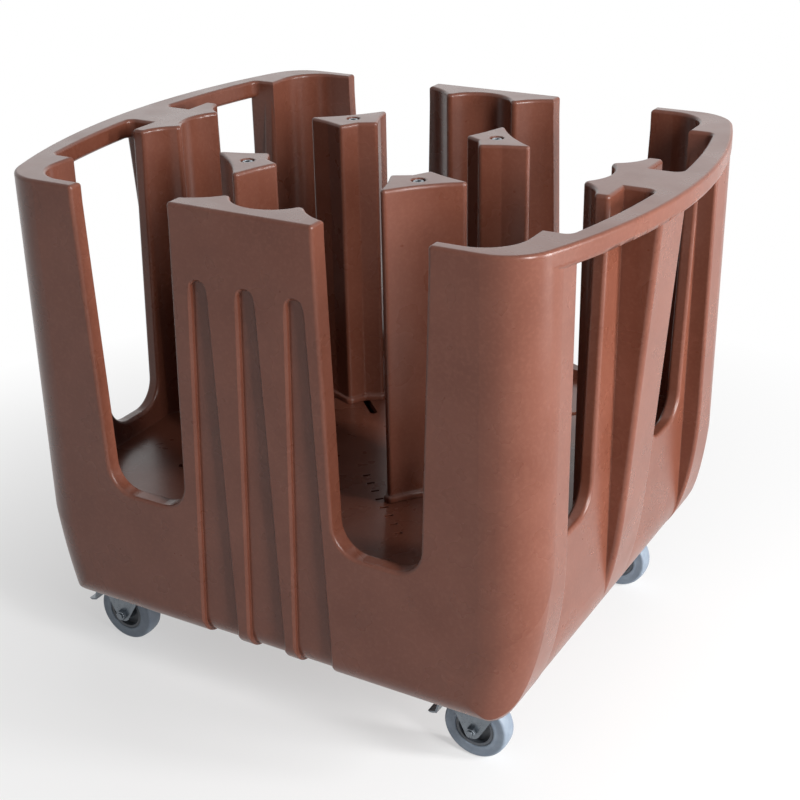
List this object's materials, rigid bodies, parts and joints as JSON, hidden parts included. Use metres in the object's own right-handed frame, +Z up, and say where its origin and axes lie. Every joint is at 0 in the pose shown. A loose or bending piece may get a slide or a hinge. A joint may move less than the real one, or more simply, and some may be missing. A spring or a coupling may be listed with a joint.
{
  "type": "tray stacking cart",
  "caption": "Open-topped moulded plastic cart on swivel casters, with sliding upright dividers for stacks of trays or plates and a bowed handle at each end.",
  "frame": {"origin": "on the ground under the middle of the cart", "axes": "+X to the right-hand handle, +Y to the back panel, +Z up"},
  "size_m": [0.9438, 0.744, 0.8],
  "materials": {
    "body_polyethylene": "satin rotational moulding, dark brown",
    "divider_polyethylene": "satin rotational moulding, dark brown",
    "zinc_plated_steel": "bright zinc plating",
    "bearing_steel": "polished",
    "grey_nylon": "moulded, dark grey",
    "grey_tread_rubber": "moulded, blue grey",
    "black_rubber": "matt"
  },
  "bodies": {
    "cart_body": {"body_shell": "body_polyethylene", "caster_bolts": "zinc_plated_steel", "threaded_inserts": "zinc_plated_steel", "front_left_caster_plate": "zinc_plated_steel", "front_left_kingpin": "zinc_plated_steel", "front_right_caster_plate": "zinc_plated_steel", "front_right_kingpin": "zinc_plated_steel", "back_left_caster_plate": "zinc_plated_steel", "back_left_kingpin": "zinc_plated_steel", "back_right_caster_plate": "zinc_plated_steel", "back_right_kingpin": "zinc_plated_steel"},
    "front_left_divider_set": {"front_left_divider": "divider_polyethylene", "front_left_clamp_washer": "zinc_plated_steel", "front_left_clamp_nut": "zinc_plated_steel"},
    "front_left_screw": {"front_left_clamp_screw": "zinc_plated_steel"},
    "front_right_divider_set": {"front_right_divider": "divider_polyethylene", "front_right_clamp_washer": "zinc_plated_steel", "front_right_clamp_nut": "zinc_plated_steel"},
    "front_right_screw": {"front_right_clamp_screw": "zinc_plated_steel"},
    "back_left_divider_set": {"back_left_divider": "divider_polyethylene", "back_left_clamp_washer": "zinc_plated_steel", "back_left_clamp_nut": "zinc_plated_steel"},
    "back_left_screw": {"back_left_clamp_screw": "zinc_plated_steel"},
    "back_right_divider_set": {"back_right_divider": "divider_polyethylene", "back_right_clamp_washer": "zinc_plated_steel", "back_right_clamp_nut": "zinc_plated_steel"},
    "back_right_screw": {"back_right_clamp_screw": "zinc_plated_steel"},
    "front_left_brake": {"front_left_brake_pedal": "zinc_plated_steel", "front_left_brake_shoe": "black_rubber"},
    "front_left_fork_set": {"front_left_fork": "zinc_plated_steel", "front_left_axle_bolt": "zinc_plated_steel", "front_left_axle_sleeve": "zinc_plated_steel", "front_left_bearing_balls": "bearing_steel", "front_left_brake_pin": "zinc_plated_steel"},
    "front_left_wheel": {"front_left_wheel_core": "grey_nylon", "front_left_tread": "grey_tread_rubber"},
    "front_right_brake": {"front_right_brake_pedal": "zinc_plated_steel", "front_right_brake_shoe": "black_rubber"},
    "front_right_fork_set": {"front_right_fork": "zinc_plated_steel", "front_right_axle_bolt": "zinc_plated_steel", "front_right_axle_sleeve": "zinc_plated_steel", "front_right_bearing_balls": "bearing_steel", "front_right_brake_pin": "zinc_plated_steel"},
    "front_right_wheel": {"front_right_wheel_core": "grey_nylon", "front_right_tread": "grey_tread_rubber"},
    "back_left_fork_set": {"back_left_fork": "zinc_plated_steel", "back_left_axle_bolt": "zinc_plated_steel", "back_left_axle_sleeve": "zinc_plated_steel", "back_left_bearing_balls": "bearing_steel"},
    "back_left_wheel": {"back_left_wheel_core": "grey_nylon", "back_left_tread": "grey_tread_rubber"},
    "back_right_fork_set": {"back_right_fork": "zinc_plated_steel", "back_right_axle_bolt": "zinc_plated_steel", "back_right_axle_sleeve": "zinc_plated_steel", "back_right_bearing_balls": "bearing_steel"},
    "back_right_wheel": {"back_right_wheel_core": "grey_nylon", "back_right_tread": "grey_tread_rubber"}
  },
  "joints": [
    {"name": "front_left_divider_slide", "type": "slide", "parent": "cart_body", "child": "front_left_divider_set", "axis": [-0.7071, -0.7071, 0], "range_m": [-0.1, 0.13]},
    {"name": "front_left_screw_turn", "type": "hinge", "parent": "front_left_divider_set", "child": "front_left_screw", "pos_m": [-0.14414, -0.14114, 0.79], "axis": [0, 0, 1], "range_deg": [0, 360]},
    {"name": "front_right_divider_slide", "type": "slide", "parent": "cart_body", "child": "front_right_divider_set", "axis": [0.7071, -0.7071, 0], "range_m": [-0.071, 0.159]},
    {"name": "front_right_screw_turn", "type": "hinge", "parent": "front_right_divider_set", "child": "front_right_screw", "pos_m": [0.12364, -0.12064, 0.79], "axis": [0, 0, 1], "range_deg": [0, 360]},
    {"name": "back_left_divider_slide", "type": "slide", "parent": "cart_body", "child": "back_left_divider_set", "axis": [-0.7071, 0.7071, 0], "range_m": [-0.082, 0.148]},
    {"name": "back_left_screw_turn", "type": "hinge", "parent": "back_left_divider_set", "child": "back_left_screw", "pos_m": [-0.13141, 0.12841, 0.79], "axis": [0, 0, 1], "range_deg": [0, 360]},
    {"name": "back_right_divider_slide", "type": "slide", "parent": "cart_body", "child": "back_right_divider_set", "axis": [0.7071, 0.7071, 0], "range_m": [-0.07, 0.16]},
    {"name": "back_right_screw_turn", "type": "hinge", "parent": "back_right_divider_set", "child": "back_right_screw", "pos_m": [0.12293, 0.11993, 0.79], "axis": [0, 0, 1], "range_deg": [0, 360]},
    {"name": "front_left_swivel", "type": "hinge", "parent": "cart_body", "child": "front_left_fork_set", "pos_m": [-0.318, -0.265, 0.11], "axis": [0, 0, 1], "continuous": true},
    {"name": "front_left_wheel_spin", "type": "hinge", "parent": "front_left_fork_set", "child": "front_left_wheel", "pos_m": [-0.342, -0.265, 0.05], "axis": [0, 1, 0], "continuous": true},
    {"name": "front_left_brake_press", "type": "hinge", "parent": "front_left_fork_set", "child": "front_left_brake", "pos_m": [-0.376, -0.265, 0.1], "axis": [0, -1, 0], "range_deg": [0, 9]},
    {"name": "front_right_swivel", "type": "hinge", "parent": "cart_body", "child": "front_right_fork_set", "pos_m": [0.318, -0.265, 0.11], "axis": [0, 0, 1], "continuous": true},
    {"name": "front_right_wheel_spin", "type": "hinge", "parent": "front_right_fork_set", "child": "front_right_wheel", "pos_m": [0.294, -0.265, 0.05], "axis": [0, 1, 0], "continuous": true},
    {"name": "front_right_brake_press", "type": "hinge", "parent": "front_right_fork_set", "child": "front_right_brake", "pos_m": [0.26, -0.265, 0.1], "axis": [0, -1, 0], "range_deg": [0, 9]},
    {"name": "back_left_swivel", "type": "hinge", "parent": "cart_body", "child": "back_left_fork_set", "pos_m": [-0.318, 0.265, 0.11], "axis": [0, 0, 1], "continuous": true},
    {"name": "back_left_wheel_spin", "type": "hinge", "parent": "back_left_fork_set", "child": "back_left_wheel", "pos_m": [-0.342, 0.265, 0.05], "axis": [0, 1, 0], "continuous": true},
    {"name": "back_right_swivel", "type": "hinge", "parent": "cart_body", "child": "back_right_fork_set", "pos_m": [0.318, 0.265, 0.11], "axis": [0, 0, 1], "continuous": true},
    {"name": "back_right_wheel_spin", "type": "hinge", "parent": "back_right_fork_set", "child": "back_right_wheel", "pos_m": [0.294, 0.265, 0.05], "axis": [0, 1, 0], "continuous": true}
  ]
}
